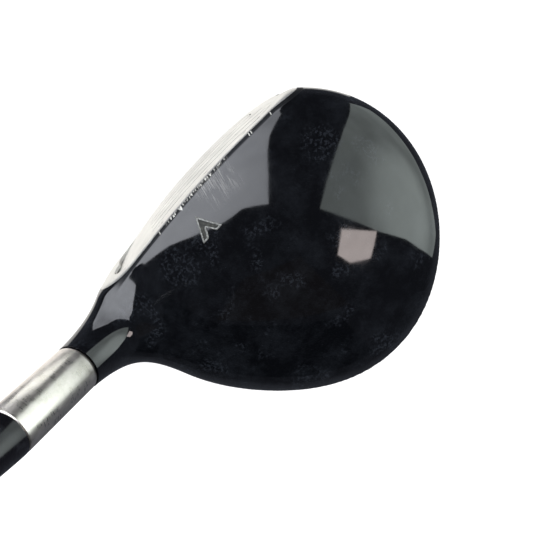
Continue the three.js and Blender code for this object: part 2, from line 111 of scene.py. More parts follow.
def dome_value(p):
    """Zero on the dome, negative inside it."""
    x, y, z = p[..., 0], p[..., 1], p[..., 2]
    above = z >= WAIST[2]
    rise = np.where(above, CROWN_HEIGHT - WAIST[2], WAIST[2] + SOLE_DIP)
    lift = np.abs(z - WAIST[2]) / rise
    dx = x - np.where(above, WAIST[0], WAIST[0] * (1 - lift))
    dy = y - np.where(above, WAIST[1] - CROWN_SHIFT * lift, WAIST[1] * (1 - lift))
    spread = np.hypot(dx, dy) / plan_radius(np.arctan2(dy, dx))
    crown = spread ** CROWN_ROUNDNESS + lift ** 2
    sole = spread ** SOLE_ROUNDNESS + lift ** 2.2
    return np.where(above, crown, sole) - 1


def slope(field, p, step):
    """Gradient of a field by central differences."""
    parts = []
    for axis in range(3):
        shift = np.zeros(3)
        shift[axis] = step
        parts.append((field(p + shift) - field(p - shift)) / (2 * step))
    return np.stack(parts, -1)


def length(v):
    return np.sqrt((v * v).sum(-1))


def soft_min(a, b, reach):
    near = np.maximum(reach - np.abs(a - b), 0) / reach
    return np.minimum(a, b) - near * near * reach / 4


def soft_max(a, b, reach):
    return -soft_min(-a, -b, reach)


def dome_distance(p):
    return dome_value(p) / np.maximum(length(slope(dome_value, p, 0.01)), 0.012)


def axis_distance(p):
    """Distance from the shaft axis, and how far along it from the ground."""
    offset = p - shaft_foot
    along = offset @ shaft_axis
    return length(offset - along[..., None] * shaft_axis), along


def neck_distance(p):
    offset = p - shaft_foot
    along = np.maximum(offset @ shaft_axis, NECK_FOOT)
    return length(offset - along[..., None] * shaft_axis) - NECK_RADIUS


def face_distance(p):
    """Positive in front of the face, negative behind it."""
    return length(p - face_centre) - FACE_RADIUS


def uncut_distance(p):
    return soft_min(dome_distance(p), neck_distance(p), NECK_BLEND)


def head_distance(p):
    cut = soft_max(dome_distance(p), face_distance(p), EDGE_ROUNDING)
    whole = soft_min(cut, neck_distance(p), NECK_BLEND)
    return soft_max(whole, -p[..., 2], PAD_ROUNDING)


def normals_of(p):
    g = slope(head_distance, p, 0.05)
    return g / length(g)[..., None]


def settle(p, rounds):
    """Moves points onto the head's surface."""
    for _ in range(rounds):
        g = slope(head_distance, p, 0.02)
        p = p - (head_distance(p) / np.maximum((g * g).sum(-1), 0.05))[..., None] * g
    return p


# Mesh tools -------------------------------------------------------------------------------------

def head_net(low, high, cell):
    """One vertex per grid cell that the head's surface crosses, joined into triangles."""
    axes = [np.arange(a, b + cell, cell) for a, b in zip(low, high)]
    grid = np.stack(np.meshgrid(*axes, indexing="ij"), -1)
    inside = head_distance(grid) < 0
    corner_sum = sum(
        inside[i:inside.shape[0] - 1 + i, j:inside.shape[1] - 1 + j, k:inside.shape[2] - 1 + k]
        .astype(int)
        for i in (0, 1) for j in (0, 1) for k in (0, 1)
    )
    crossed = (corner_sum > 0) & (corner_sum < 8)
    ids = np.full(crossed.shape, -1)
    ids[crossed] = np.arange(crossed.sum())
    points = grid[:-1, :-1, :-1][crossed] + cell / 2
    quads = []
    for axis in range(3):
        a = np.moveaxis(inside, axis, 0)
        n = np.moveaxis(ids, axis, 0)
        changed = a[:-1, 1:-1, 1:-1] != a[1:, 1:-1, 1:-1]
        i, j, k = np.nonzero(changed)
        j, k = j + 1, k + 1
        quad = np.stack([n[i, j - 1, k - 1], n[i, j, k - 1], n[i, j, k], n[i, j - 1, k]], 1)
        turned = a[i, j, k] ^ (axis == 1)
        quad[~turned] = quad[~turned][:, ::-1]
        quads.append(quad)
    quads = np.concatenate(quads)
    quads = quads[(quads >= 0).all(1)]
    points = relax(settle(points, 4), quads)
    return points, quads_to_triangles(points, quads)


def relax(points, quads, rounds=5):
    """Evens out the spacing without leaving the surface."""
    edges = np.concatenate([quads[:, [i, (i + 1) % 4]] for i in range(4)])
    count = np.bincount(edges.ravel(), minlength=len(points))
    for _ in range(rounds):
        total = np.zeros_like(points)
        for axis in range(3):
            for a, b in ((0, 1), (1, 0)):
                total[:, axis] += np.bincount(
                    edges[:, a], points[edges[:, b], axis], minlength=len(points)
                )
        points = settle(points + 0.5 * (total / count[:, None] - points), 1)
    return settle(points, 2)


def quads_to_triangles(points, quads):
    a, b, c, d = quads.T
    short = length(points[a] - points[c]) <= length(points[b] - points[d])
    first = np.where(short[:, None], quads[:, [0, 1, 2]], quads[:, [0, 1, 3]])
    second = np.where(short[:, None], quads[:, [0, 2, 3]], quads[:, [1, 2, 3]])
    return np.concatenate([first, second])


def grid_triangles(rows, columns):
    ids = np.arange(rows * columns).reshape(rows, columns)
    a, b, c, d = ids[:-1, :-1], ids[1:, :-1], ids[1:, 1:], ids[:-1, 1:]
    halves = [np.stack(half, -1).reshape(-1, 3) for half in ((a, b, c), (a, c, d))]
    return np.concatenate(halves)


def split(points, triangles, tags, field, snap, on_head=False):
    """Cuts triangles along field == 0. Returns points, triangles, tags and each one's side.

    Points nearer to the cut than snap move onto it. On the head they also stay on its surface.
    """
    value = field(points)
    g = slope(field, points, 0.02)
    if on_head:
        n = normals_of(points)
        g = g - (g * n).sum(-1)[:, None] * n
    steep = np.maximum((g * g).sum(-1), 1e-4)
    near = np.abs(value) / np.sqrt(steep) < snap
    moved = points - (value / steep)[:, None] * g
    if on_head:
        moved = settle(moved, 2)
    points = np.where(near[:, None], moved, points)
    value = np.where(near, 0.0, field(points))
    sign = np.sign(value).astype(int)
    corner = sign[triangles]
    mixed = (corner.min(1) < 0) & (corner.max(1) > 0)
    extra, made, new_triangles, new_tags, new_side = [], {}, [], [], []

    def crossing(a, b):
        key = (min(a, b), max(a, b))
        if key not in made:
            share = value[key[0]] / (value[key[0]] - value[key[1]])
            made[key] = len(points) + len(extra)
            extra.append(points[key[0]] + share * (points[key[1]] - points[key[0]]))
        return made[key]

    for triangle, tag in zip(triangles[mixed].tolist(), tags[mixed].tolist()):
        for wanted in (-1, 1):
            loop = []
            for a, b in zip(triangle, triangle[1:] + triangle[:1]):
                if sign[a] in (0, wanted):
                    loop.append(a)
                if sign[a] * sign[b] < 0:
                    loop.append(crossing(a, b))
            for i in range(1, len(loop) - 1):
                new_triangles.append([loop[0], loop[i], loop[i + 1]])
                new_tags.append(tag)
                new_side.append(wanted)
    kept_side = np.where(corner[~mixed].sum(1) >= 0, 1, -1)
    if extra:
        extra = np.array(extra)
        if on_head:
            extra = settle(extra, 2)
        points = np.concatenate([points, extra])
        triangles = np.concatenate([triangles[~mixed], new_triangles])
        tags = np.concatenate([tags[~mixed], new_tags])
        kept_side = np.concatenate([kept_side, new_side])
    return points, triangles, tags, kept_side


def shell(points, triangles, normals, thickness, materials=None):
    """Closes an open sheet into a shell. Returns points, faces, loop normals and materials."""
    used, compact = np.unique(triangles, return_inverse=True)
    triangles = compact.reshape(-1, 3)
    outer, up = points[used], normals[used]
    count = len(outer)
    sides = np.concatenate([triangles[:, [0, 1]], triangles[:, [1, 2]], triangles[:, [2, 0]]])
    keys = sides[:, 0] * count + sides[:, 1]
    open_side = ~np.isin(keys, sides[:, 1] * count + sides[:, 0])
    a, b = sides[open_side].T
    everything = np.concatenate([outer, outer - thickness * up])
    inner = triangles[:, ::-1] + count
    rim = np.concatenate([np.stack([b, a, a + count], 1), np.stack([b, a + count, b + count], 1)])
    faces = np.concatenate([triangles, inner, rim])
    rim_normals = np.cross(
        everything[rim[:, 1]] - everything[rim[:, 0]], everything[rim[:, 2]] - everything[rim[:, 0]]
    )
    rim_normals /= np.maximum(length(rim_normals), 1e-9)[:, None]
    loops = np.concatenate([
        up[triangles], -up[inner - count], np.repeat(rim_normals[:, None], 3, 1),
    ]).reshape(-1, 3)
    if materials is None:
        materials = np.zeros(len(triangles), int)
    owner = np.tile(np.concatenate([np.arange(len(triangles))] * 3)[open_side.nonzero()[0]], 2)
    indices = np.concatenate([materials, materials, materials[owner]])
    return everything, faces, loops, indices


def to_object(name, points, faces, finishes, indices=None, loop_normals=None, sharp_degrees=0):
    """Makes a smooth-shaded mesh object in metres that rides on the club."""
    mesh = bpy.data.meshes.new(name)
    mesh.from_pydata((points * MM).tolist(), [], [list(face) for face in faces])
    for finish in finishes:
        mesh.materials.append(FINISHES[finish])
    mesh.polygons.foreach_set("use_smooth", [True] * len(mesh.polygons))
    if indices is not None:
        mesh.polygons.foreach_set("material_index", np.asarray(indices, np.int32))
    mesh.update()
    if loop_normals is not None:
        mesh.normals_split_custom_set(loop_normals.tolist())
    else:
        mesh.set_sharp_from_angle(angle=math.radians(sharp_degrees))
    obj = bpy.data.objects.new(name, mesh)
    bpy.context.scene.collection.objects.link(obj)
    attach(obj, "root")
    return obj


def along_shaft(local):
    """Turns points whose Z runs along the shaft into the club's frame."""
    turn = np.array(Matrix.Rotation(math.pi / 2 - LIE, 3, "Y"))
    return local @ turn.T + shaft_foot


def full_turn(segments):
    return np.arange(segments) * 2 * math.pi / segments


def circle(radius, height, angle):
    return np.stack([radius * np.cos(angle), radius * np.sin(angle), height + 0 * angle], -1)


def ring_faces(rings, segments, closed=True):
    """Quads between successive rings of points, and from the last ring back to the first."""
    i, j = np.meshgrid(np.arange(rings if closed else rings - 1), np.arange(segments), indexing="ij")
    i, j = i.ravel(), j.ravel()
    n, k = (i + 1) % rings, (j + 1) % segments
    quads = [i * segments + j, i * segments + k, n * segments + k, n * segments + j]
    return np.stack(quads, 1)


def lathe(name, profile, finish, segments=128):
    """A closed ring-shaped profile turned about the shaft axis, listed upwards on the outside."""
    rings = [circle(radius, height, full_turn(segments)) for radius, height in profile]
    faces = ring_faces(len(profile), segments)
    return to_object(name, along_shaft(np.concatenate(rings)), faces, [finish], sharp_degrees=30)


# Materials --------------------------------------------------------------------------------------

class Graph:
    """Short forms for building a node tree."""

    def __init__(self, tree):
        self.tree = tree

    def join(self, socket, value):
        if isinstance(value, bpy.types.NodeSocket):
            self.tree.links.new(value, socket)
        elif socket.type == "RGBA":
            socket.default_value = (*value, 1)
        else:
            socket.default_value = value

    def node(self, kind, *values, **settings):
        """Adds a node with its properties set and its inputs joined in order, None to skip one."""
        node = self.tree.nodes.new("ShaderNode" + kind)
        for name, value in settings.items():
            setattr(node, name, value)
        for socket, value in zip(node.inputs, values):
            if value is not None:
                self.join(socket, value)
        return node

    def math(self, operation, *values):
        return self.node("Math", *values, operation=operation).outputs[0]

    def add(self, a, b):
        return self.math("ADD", a, b)

    def minus(self, a, b):
        return self.math("SUBTRACT", a, b)

    def times(self, *values):
        result = values[0]
        for value in values[1:]:
            result = self.math("MULTIPLY", result, value)
        return result

    def vector(self, operation, *values):
        node = self.node("VectorMath", *values, operation=operation)
        return node.outputs["Value" if operation in ("LENGTH", "DOT_PRODUCT") else "Vector"]

    def combine(self, x, y=None):
        return self.node("CombineXYZ", x, y).outputs[0]

    def span(self, value, low, high, start=0.0, end=1.0, smooth=False):
        """Maps low to start and high to end, and holds the ends outside them."""
        kind = "SMOOTHSTEP" if smooth else "LINEAR"
        return self.node("MapRange", value, low, high, start, end, interpolation_type=kind).outputs[0]

    def mix(self, share, a, b):
        node = self.node("Mix", share, data_type="RGBA")
        first, second = (socket for socket in node.inputs if socket.type == "RGBA")
        self.join(first, a)
        self.join(second, b)
        return node.outputs[2]


class Finish(Graph):
    """One procedural material. Coordinates are millimetres in the club's frame."""

    def __init__(self, name, colour=(0.5, 0.5, 0.5), **settings):
        self.material = bpy.data.materials.new(name)
        self.material.use_nodes = True
        super().__init__(self.material.node_tree)
        self.surface = self.tree.nodes["Principled BSDF"]
        self.mm = self.vector("MULTIPLY", self.node("TexCoord").outputs["Object"], (1 / MM,) * 3)
        self.set(Base_Color=colour, **settings)

    def set(self, **inputs):
        for name, value in inputs.items():
            self.join(self.surface.inputs[name.replace("_", " ")], value)

    def dot(self, direction, at=None):
        return self.vector("DOT_PRODUCT", at or self.mm, tuple(direction))

    def away(self, place):
        return self.vector("LENGTH", self.vector("SUBTRACT", self.mm, tuple(place)))

    def noise(self, size, at=None, detail=3.0, roughness=0.55):
        """Smooth random values around 0.5. Size is the grain in millimetres."""
        return self.node("TexNoise", at or self.mm, None, 1 / size, detail, roughness).outputs["Fac"]

    def stretched(self, along, across, length_ratio, offset=0.0):
        """Coordinates that turn noise into fine lines along a direction."""
        return self.combine(self.add(self.times(along, 1 / length_ratio), offset), across)

    def bump(self, height, depth):
        """Depth is the relief in millimetres for a height from 0 to 1."""
        node = self.node("Bump")
        self.join(node.inputs["Distance"], depth * MM)
        self.join(node.inputs["Height"], height)
        if self.surface.inputs["Normal"].links:
            self.join(node.inputs["Normal"], self.surface.inputs["Normal"].links[0].from_socket)
        self.set(Normal=node.outputs[0])

    def behind_face(self):
        """Depth behind the face sphere."""
        return self.minus(FACE_RADIUS, self.away(face_centre))


# Wear behind the face, placed along X and by depth behind the face. A pair is where it fades.
SINGLE_CHIPS = (-24.5, -17.4, -16.6, 18.4)
CHIP_WIDTH, CHIP_DEPTH, CHIP_SLANT = 0.12, 0.8, 0.30
WORN_ZONE = (-8.0, 15.5)
SKYMARK_TOE, SKYMARK_HEEL, SKYMARK_DEPTH = (-8.0, -6.0), (6.0, 1.0), (8.0, 1.5)
SCUFFED = [((21.0, -9.0, 35.7), 8.0), ((-28.0, -5.0, 33.8), 7.0)]
EDGE_LINE, EDGE_LINE_HEEL = (1.05, 0.75), (41.0, 34.0)
TOE_TURN, TOE_DEPTH = (-26.0, -35.0), 1.1


def gloss_black_paint():
    """Black enamel with a matt edge line behind the face, chipped and scuffed where balls hit it."""
    f = Finish("gloss_black_paint", (0.006, 0.0065, 0.009), Roughness=0.05, IOR=1.62)
    depth = f.behind_face()
    x = f.dot((1, 0, 0))
    slanted = f.add(x, f.times(depth, -CHIP_SLANT))
    dust = f.span(f.noise(9.0, detail=9, roughness=0.78), 0.44, 0.72)
    specks = f.span(f.noise(0.30, detail=1), 0.71, 0.80)
    elsewhere = f.vector("ADD", f.mm, (31.0, 5.0, 2.0))
    scuffed = f.span(f.noise(8.0, elsewhere, detail=1), 0.56, 0.70)
    for place, radius in SCUFFED:
        near = f.span(f.away(place), radius, 0.4 * radius, smooth=True)
        scuffed = f.math("MAXIMUM", scuffed, near)
    scuffs = f.times(scuffed, f.span(f.noise(0.9, detail=4, roughness=0.7), 0.50, 0.70))
    haze = f.add(f.times(dust, 0.5), f.times(specks, 0.5))
    haze = f.add(haze, f.times(scuffs, 2.2))
    colour = f.mix(haze, (0.0025, 0.0028, 0.0040), (0.017, 0.020, 0.026))

    worn = f.times(
        f.span(x, WORN_ZONE[0] - 1, WORN_ZONE[0] + 2, smooth=True),
        f.span(x, WORN_ZONE[1] + 1, WORN_ZONE[1] - 2, smooth=True),
    )
    ticks = f.noise(0.55, f.stretched(depth, slanted, 4.0), detail=3)
    reach = f.span(f.noise(1.7, f.combine(slanted), detail=2), 0.40, 0.66, 0.3, 1.15)
    chips = f.times(f.span(ticks, 0.50, 0.56), worn, f.math("LESS_THAN", depth, reach))
    for place in SINGLE_CHIPS:
        near = f.math("COMPARE", slanted, place, CHIP_WIDTH)
        chips = f.math("MAXIMUM", chips, f.times(near, f.math("LESS_THAN", depth, CHIP_DEPTH)))

    streaks = f.noise(0.26, f.stretched(depth, slanted, 22.0, 3.0), detail=2)
    patch = f.noise(2.4, f.stretched(depth, slanted, 2.0, 9.0), detail=2)
    marks = f.times(
        f.span(streaks, 0.46, 0.62),
        f.span(patch, 0.40, 0.56),
        f.span(x, *SKYMARK_TOE, smooth=True),
        f.span(x, *SKYMARK_HEEL, smooth=True),
        f.span(depth, *SKYMARK_DEPTH),
    )
    drawn_back = f.minus(depth, f.span(x, *TOE_TURN, 0.0, TOE_DEPTH))
    line = f.times(f.span(drawn_back, *EDGE_LINE), f.span(x, *EDGE_LINE_HEEL, smooth=True))

    colour = f.mix(f.times(marks, 0.65), colour, (0.42, 0.42, 0.41))
    bare = f.mix(f.noise(0.3), (0.30, 0.30, 0.27), (0.86, 0.85, 0.80))
    f.set(Base_Color=f.mix(chips, colour, bare))
    f.set(Metallic=f.times(chips, 0.7))
    rough = f.add(f.span(dust, 0.0, 1.0, 0.045, 0.085), f.times(marks, 0.35))
    rough = f.add(rough, f.times(line, 0.45))
    f.set(Roughness=f.add(rough, f.times(chips, 0.1)))
    gloss = f.minus(0.5, f.times(line, 0.40))
    f.set(Specular_IOR_Level=f.add(gloss, f.times(chips, 0.4)))
    f.bump(f.noise(1.6, detail=1), 0.0007)
    f.bump(f.minus(1.0, f.math("MAXIMUM", chips, f.times(marks, 0.3))), 0.04)
    return f.material


def satin_steel():
    """Bare face steel with fine lines along X, darker grooves and small knocks."""
    f = Finish("satin_steel", (0.72, 0.71, 0.69), Metallic=1.0, Roughness=0.36)
    depth = f.behind_face()
    x = f.dot((1, 0, 0))
    lines = f.noise(0.16, f.stretched(x, f.dot(face_up), 60.0), detail=3)
    blotch = f.noise(6.0, detail=4)
    knocks = f.span(f.noise(0.8, detail=2), 0.70, 0.76)
    ball = f.span(f.away(FACE_MIDDLE), 17.0, 6.0, smooth=True)
    steel = f.mix(f.span(blotch, 0.35, 0.7), (0.74, 0.73, 0.70), (0.88, 0.87, 0.83))
    steel = f.mix(f.times(f.span(lines, 0.45, 0.7), 0.25), steel, (0.45, 0.44, 0.42))
    steel = f.mix(f.times(knocks, 0.6), steel, (0.25, 0.24, 0.23))
    beside = f.math("ABSOLUTE", f.minus(x, FACE_MIDDLE[0]))
    groove = f.times(f.span(depth, 0.10, 0.25), f.math("LESS_THAN", beside, SCORE_LENGTH / 2 + 0.5))
    f.set(Base_Color=f.mix(groove, steel, (0.05, 0.05, 0.05)))
    f.set(Roughness=f.add(f.span(lines, 0.3, 0.7, 0.28, 0.44), f.times(ball, 0.10)))
    f.bump(lines, 0.006)
    f.bump(f.minus(1.0, knocks), 0.02)
    return f.material


def brushed(name, colour, dark, around, rough=(0.22, 0.40), relief=0.003):
    """Metal with brush lines along a direction, given as a unit vector or 'shaft' for round it."""
    f = Finish(name, colour, Metallic=1.0, Roughness=rough[0])
    if around == "shaft":
        offset = f.vector("SUBTRACT", f.mm, tuple(shaft_foot))
        across = f.dot(shaft_axis, offset)
        along = f.dot(np.cross(shaft_axis, (0, 1, 0)), offset)
    else:
        along = f.dot(around)
        across = f.dot(np.cross(around, (0, 0, 1)))
    lines = f.noise(0.25, f.stretched(along, across, 40.0), detail=4)
    blotch = f.noise(2.4, detail=5, roughness=0.65)
    pits = f.span(f.noise(0.5, detail=1), 0.74, 0.82)
    tone = f.mix(f.span(blotch, 0.36, 0.66), dark, colour)
    tone = f.mix(f.times(f.span(lines, 0.5, 0.8), 0.15), tone, dark)
    f.set(Base_Color=f.mix(f.times(pits, 0.35), tone, tuple(0.5 * c for c in dark)))
    f.set(Roughness=f.add(f.span(lines, 0.3, 0.7, *rough), f.times(f.span(blotch, 0.4, 0.7), 0.08)))
    f.bump(lines, relief)
    f.bump(f.minus(1.0, pits), 2 * relief)
    return f.material


def turned_metal():
    """Weight metal with circular tool marks round the screw's own axis."""
    f = Finish("weight_metal", (0.3, 0.3, 0.31), Metallic=1.0)
    flat = f.vector("MULTIPLY", f.vector("SUBTRACT", f.mm, tuple(weight_centre)), (1, 1, 0))
    radius = f.vector("LENGTH", flat)
    rings = f.noise(0.13, f.combine(radius), detail=3)
    stain = f.noise(1.5, detail=4)
    f.set(Base_Color=f.mix(f.span(stain, 0.35, 0.7), (0.20, 0.20, 0.21), (0.42, 0.42, 0.43)))
    f.set(Roughness=f.span(rings, 0.3, 0.7, 0.22, 0.42))
    f.bump(rings, 0.01)
    return f.material


def printed(name, light, dark, shiny=0.3):
    f = Finish(name, light, Roughness=shiny, Metallic=0.25)
    wear = f.span(f.noise(0.5, detail=4), 0.45, 0.62)
    f.set(Base_Color=f.mix(wear, dark, light))
    f.set(Roughness=f.span(wear, 0, 1, shiny + 0.2, shiny))
    f.bump(f.noise(0.2, detail=2), 0.01)
    return f.material


ARC, WEAVE_CLIMB = 6.0, 3.6  # a middling shaft radius, and the weave's turn for each millimetre up
STRIPES = ((4.0, 5.2), (6.4, 12.0))


def shaft_polar(f):
    """Distance along the shaft in millimetres and angle round it."""
    offset = f.vector("SUBTRACT", f.mm, tuple(shaft_foot))
    along = f.dot(shaft_axis, offset)
    side = f.dot(np.cross((0, 1, 0), shaft_axis), offset)
    angle = f.math("ARCTAN2", f.dot((0, 1, 0), offset), side)
    return along, angle


def graphite():
    """Clear-coated carbon: crossed bands of fibre under gloss, with a few polishing lines."""
    f = Finish("graphite", (0.012, 0.013, 0.015), Roughness=0.32, Coat_Weight=1.0, Coat_Roughness=0.05)
    along, angle = shaft_polar(f)
    turns, climb = f.times(angle, ARC), f.times(along, WEAVE_CLIMB)
    weave = f.times(f.math("SINE", f.add(climb, turns)), f.math("SINE", f.minus(climb, turns)))
    fibres = f.noise(0.1, f.stretched(along, turns, 30.0), detail=2)
    tone = f.add(f.span(weave, -1, 1, 0.0, 0.6), f.times(fibres, 0.4))
    f.set(Base_Color=f.mix(tone, (0.004, 0.0045, 0.006), (0.030, 0.032, 0.037)))
    f.set(Roughness=f.span(tone, 0.2, 0.8, 0.42, 0.25))
    dust = f.span(f.noise(3.0, detail=5), 0.5, 0.75)
    f.set(Coat_Roughness=f.times(dust, 0.12))
    return f.material


def band_print():
    """Grey printed band with narrow dark and silver stripes round the shaft."""
    f = Finish("band_print", (0.3, 0.31, 0.33), Roughness=0.3, Coat_Weight=0.8, Coat_Roughness=0.06)
    along, _ = shaft_polar(f)
    from_end = f.math("PINGPONG", f.minus(along, BAND_START), BAND_LENGTH / 2)
    thin, broad = (
        f.times(f.math("GREATER_THAN", from_end, low), f.math("LESS_THAN", from_end, high))
        for low, high in STRIPES
    )
    wear = f.span(f.noise(1.2, detail=5), 0.50, 0.75)
    flake = f.noise(0.12, detail=1)
    grey = f.mix(flake, (0.14, 0.145, 0.16), (0.34, 0.35, 0.37))
    tone = f.mix(f.math("MAXIMUM", thin, broad), grey, (0.015, 0.016, 0.02))
    f.set(Base_Color=f.mix(f.times(wear, 0.5), tone, (0.10, 0.10, 0.11)))
    f.set(Metallic=f.minus(0.6, f.times(broad, 0.6)))
    f.set(Roughness=f.span(wear, 0, 1, 0.26, 0.45))
    return f.material


def black_plastic():
    """Polished ferrule plastic with faint turning lines and handling scuffs."""
    f = Finish("black_plastic", (0.008, 0.008, 0.010), Roughness=0.14, IOR=1.5)
    along, angle = shaft_polar(f)
    lines = f.noise(0.12, f.stretched(f.times(angle, ARC), along, 40.0), detail=2)
    scuff = f.span(f.noise(2.4, detail=5), 0.50, 0.80)
    f.set(Base_Color=f.mix(scuff, (0.004, 0.004, 0.006), (0.016, 0.018, 0.023)))
    f.set(Roughness=f.add(f.span(lines, 0.3, 0.7, 0.13, 0.20), f.times(scuff, 0.08)))
    f.bump(lines, 0.001)
    return f.material


# The grip's pattern: places along it are shares of its length.
LATTICE_STARTS, LATTICE_PITCH, LATTICE_DEPTH = 12, 9.0, 0.42
PANEL, PANEL_FADE = (0.10, 0.93), 0.01
PLAIN_RINGS, PLAIN_WIDTH = 4, 0.06
RING_PITCH, RING_DEPTH = 3.0, 0.30
LOW_RINGS, HIGH_RINGS = (0.03, 0.09), (0.94, 0.965)


def grip_rubber():
    """Matte moulded rubber with crossed grooves between plain rings, painted shade in the grooves and greyer
    where hands rub it.
    """
    f = Finish("grip_rubber", (0.02, 0.02, 0.021), Roughness=0.7, IOR=1.45)
    grain = f.noise(0.35, detail=4, roughness=0.7)
    rub = f.span(f.noise(9.0, detail=6, roughness=0.7), 0.42, 0.72)
    along, angle = shaft_polar(f)
    twist = f.times(angle, LATTICE_STARTS / 2)
    climb = f.times(along, math.pi / LATTICE_PITCH)
    right = f.math("ABSOLUTE", f.math("SINE", f.add(climb, twist)))
    left = f.math("ABSOLUTE", f.math("SINE", f.minus(climb, twist)))
    share = f.span(along, GRIP_START, GRIP_END)
    panel = f.times(
        f.span(share, PANEL[0], PANEL[0] + PANEL_FADE), f.span(share, PANEL[1], PANEL[1] - PANEL_FADE)
    )
    ring = f.math("FRACT", f.times(share, PLAIN_RINGS))
    ring = f.math("ABSOLUTE", f.minus(ring, 0.5))
    groove = f.times(f.span(f.math("MINIMUM", right, left), 0.40, 0.12), panel)
    groove = f.times(groove, f.span(ring, PLAIN_WIDTH, 1.8 * PLAIN_WIDTH))
    tone = f.add(f.times(grain, 0.45), f.times(rub, 0.25))
    raised = f.mix(tone, (0.012, 0.012, 0.013), (0.050, 0.049, 0.048))
    # Painted shade: the rubber turns near black along the grooves that the sleeve has cut into it.
    f.set(Base_Color=f.mix(groove, raised, (0.005, 0.005, 0.005)))
    f.set(Roughness=f.span(rub, 0, 1, 0.78, 0.60))
    f.bump(grain, 0.03)
    return f.material


def plain_stock(name, low, high, size, rough, relief=0.05, **settings):
    """Resin, cork, paper and other stock with a two-tone grain."""
    f = Finish(name, low, Roughness=rough, **settings)
    grain = f.noise(size, detail=5, roughness=0.65)
    f.set(Base_Color=f.mix(f.span(grain, 0.35, 0.65), low, high))
    f.set(Roughness=f.span(grain, 0.3, 0.7, rough - 0.08, min(rough + 0.08, 1.0)))
    f.bump(grain, relief)
    return f.material


FINISHES = {
    "gloss_black_paint": gloss_black_paint(),
    "satin_steel": satin_steel(),
    "hosel_steel": brushed("hosel_steel", (0.86, 0.80, 0.76), (0.70, 0.655, 0.60), "shaft",
                          rough=(0.25, 0.31), relief=0.001),
    "brushed_steel": brushed("brushed_steel", (0.60, 0.59, 0.57), (0.49, 0.48, 0.465), (1.0, 0.0, 0.0)),
    "weight_metal": turned_metal(),
    "printed_grey": printed("printed_grey", (0.40, 0.41, 0.40), (0.16, 0.165, 0.16)),
    "mark_recess": printed("mark_recess", (0.060, 0.062, 0.050), (0.020, 0.021, 0.019), 0.4),
    "amber_resin": plain_stock("amber_resin", (0.42, 0.24, 0.06), (0.55, 0.36, 0.12), 2.0, 0.3),
    "foam_plug": plain_stock("foam_plug", (0.28, 0.20, 0.13), (0.48, 0.37, 0.25), 0.6, 0.9, 0.2),
    "graphite": graphite(),
    "black_plastic": black_plastic(),
    "band_print": band_print(),
    "tape_paper": plain_stock("tape_paper", (0.66, 0.60, 0.47), (0.80, 0.76, 0.64), 0.5, 0.85),
    "grip_rubber": grip_rubber(),
}


def dress(obj, node):
    """Hides the CAD node that a piece stands in for."""
    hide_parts(node)


# Head pieces ------------------------------------------------------------------------------------

def plan_inset(p, inset, shift=0.0):
    """Negative inside the waist outline drawn in by an inset."""
    dx = p[..., 0] - WAIST[0]
    dy = p[..., 1] - WAIST[1] - shift
    return np.hypot(dx, dy) - plan_radius(np.arctan2(dy, dx)) + inset


def crown_field(p):
    neck = NECK_CLEARANCE - axis_distance(p)[0]
    below = WAIST[2] + 1 - p[..., 2]
    plan = plan_inset(p, CROWN_EDGE, CROWN_EDGE - CROWN_SHIFT)
    return np.maximum.reduce([plan, face_distance(p) + TOPLINE_BAND, neck, below])


def sole_field(p):
    above = p[..., 2] - SOLE_TOP
    return np.maximum.reduce([plan_inset(p, SOLE_EDGE), face_distance(p) + SOLE_EDGE, above])


def face_field(p):
    """Negative inside the outline of the face plate, on and near the face."""
    heel = FACE_HEEL_CLEARANCE - axis_distance(p)[0]
    behind = -face_distance(p) - FACE_DEPTH
    across, up = p[..., 0] - TOE_END[0], (p - FACE_MIDDLE) @ face_up
    toe = np.hypot(np.minimum(across, 0), up) - TOE_END[1]
    toe = np.where(across < 0, toe, -1.0)
    return np.maximum(np.maximum.reduce([uncut_distance(p) + FACE_RIM, heel, behind]), toe)


def steel_field(p):
    """Negative on the painted skin and positive on the bare rim in front of it."""
    toe = np.clip((TOE_TURN[0] - p[..., 0]) / (TOE_TURN[0] - TOE_TURN[1]), 0, 1)
    front = face_distance(p) - dome_distance(p) - RIM_OVERLAP + toe * (TOE_DEPTH + RIM_OVERLAP)
    return np.minimum(front, neck_distance(p) - NECK_PAINT)


def weight_field(p):
    return np.hypot(p[..., 0] - weight_centre[0], p[..., 1] - weight_centre[1]) - WEIGHT_RADIUS


def head_pieces():
    points, triangles = head_net(HEAD_LOW, HEAD_HIGH, CELL)
    tags = np.zeros(len(triangles), int)
    body, crown, sole, steel = 0, 1, 2, 3

    def cut(field, sides=(-1, 1), keep=None, drop=-1):
        """Cuts along a field and keeps the named sides. Inside it, retags body or drops a tag."""
        nonlocal points, triangles, tags
        points, triangles, tags, side = split(points, triangles, tags, field, SNAP, True)
        chosen = np.isin(side, sides) & ~((side < 0) & (tags == drop))
        triangles, tags, side = triangles[chosen], tags[chosen], side[chosen]
        if keep is not None:
            tags = np.where((side < 0) & (tags == body), keep, tags)

    cut(lambda p: axis_distance(p)[1] - (PAINT_LINE - 0.3), sides=(-1,))
    cut(crown_field, keep=crown)
    cut(lambda p: face_field(p) - FACE_SEAM / 2, sides=(1,))
    cut(lambda p: -steel_field(p), keep=steel)
    cut(lambda p: sole_field(p) + SEAM / 2, keep=sole)
    cut(lambda p: sole_field(p) - SEAM / 2, drop=body)
    cut(lambda p: weight_field(p) - SEAM, drop=sole)
    normals = normals_of(points)

    def piece(name, chosen, finishes, indices=None):
        corners, faces, loops, indices = shell(points, triangles[chosen], normals, SKIN, indices)
        return to_object(name, corners, faces, finishes, indices, loops)

    skin = np.isin(tags, (body, steel))
    paint, rim, brush = "gloss_black_paint", "satin_steel", "brushed_steel"
    dress(piece("head_shell", skin, [paint, rim], tags[skin] == steel), "head_body")
    dress(piece("crown_skin", tags == crown, [paint]), "crown_plate")
    dress(piece("sole_skin", tags == sole, [brush]), "sole_plate")


